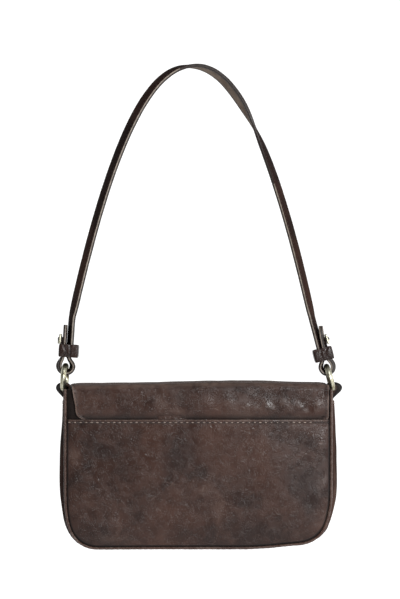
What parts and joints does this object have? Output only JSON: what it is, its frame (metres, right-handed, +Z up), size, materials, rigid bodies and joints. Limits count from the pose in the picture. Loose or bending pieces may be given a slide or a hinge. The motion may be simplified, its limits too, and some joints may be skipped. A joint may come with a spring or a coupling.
{
  "type": "baguette bag",
  "caption": "Slim flap-over shoulder bag in soft dark leather with a slip pocket on its back, hung from rings by a narrow buckled strap.",
  "frame": {"origin": "middle of the underside of the strap's crown, where the bag hangs on a hook or a shoulder", "axes": "+Z up, +X to the wearer's right end as seen from the bag's back, +Y towards the flap's front"},
  "size_m": [0.2672, 0.0749, 0.4552],
  "materials": {
    "body_leather": "dark brown pull-up leather with light scuffs and creases, semi-gloss",
    "piping_leather": "the same leather, rubbed paler, rolled over a cord",
    "strap_leather": "dark brown leather with painted edges, semi-gloss",
    "strap_underside": "taupe split leather, matt",
    "antique_brass": "pale antique brass, cast and tumbled",
    "lining_fabric": "dark brown cotton twill",
    "stiffener_board": "grey fibre board, hidden"
  },
  "bodies": {
    "strap": {"strap_outer": "strap_leather", "strap_lining": "strap_underside", "keeper_left": "strap_leather", "keeper_right": "strap_leather", "buckle_left": "antique_brass", "buckle_right": "antique_brass", "chape_left": "strap_leather", "chape_right": "strap_leather"},
    "prong_left": {"prong_left": "antique_brass"},
    "prong_right": {"prong_right": "antique_brass"},
    "bag": {"ring_tab_left": "body_leather", "ring_tab_right": "body_leather", "back_panel": "body_leather", "back_pocket_panel": "body_leather", "front_panel": "body_leather", "gusset": "body_leather", "piping_back": "piping_leather", "piping_front": "piping_leather", "back_board": "stiffener_board", "front_board": "stiffener_board", "base_board": "stiffener_board", "lining_back": "lining_fabric", "lining_front": "lining_fabric", "lining_gusset": "lining_fabric", "inner_pocket": "lining_fabric", "flap_yoke": "body_leather", "snap_socket": "antique_brass", "snap_socket_washer": "antique_brass"},
    "flap": {"flap_outer": "body_leather", "flap_board": "stiffener_board", "flap_lining": "lining_fabric", "snap_stud": "antique_brass", "snap_stud_washer": "antique_brass"},
    "ring_left": {"ring_left": "antique_brass"},
    "ring_right": {"ring_right": "antique_brass"}
  },
  "joints": [
    {"name": "bag_swing", "type": "hinge", "parent": "strap", "child": "bag", "pos_m": [0, 0, -0.2927], "axis": [1, 0, 0], "range_deg": [-60, 60]},
    {"name": "flap_open", "type": "hinge", "parent": "bag", "child": "flap", "pos_m": [0.006, -0.0297, -0.297], "axis": [1, 0, 0], "range_deg": [0, 150], "deforming": ["flap_outer", "flap_lining"]},
    {"name": "ring_left_turn", "type": "hinge", "parent": "bag", "child": "ring_left", "pos_m": [-0.12022, -0.00006, -0.29253], "axis": [0.9951, -0.0696, -0.0698], "continuous": true},
    {"name": "ring_right_turn", "type": "hinge", "parent": "bag", "child": "ring_right", "pos_m": [0.13009, 0, -0.29288], "axis": [0.9659, 0, 0.2588], "continuous": true},
    {"name": "prong_left_turn", "type": "hinge", "parent": "strap", "child": "prong_left", "pos_m": [-0.12423, 0, -0.25579], "axis": [0, 1, 0], "range_deg": [0, 70]},
    {"name": "prong_right_turn", "type": "hinge", "parent": "strap", "child": "prong_right", "pos_m": [0.12732, 0, -0.25605], "axis": [0, -1, 0], "range_deg": [0, 70]}
  ]
}
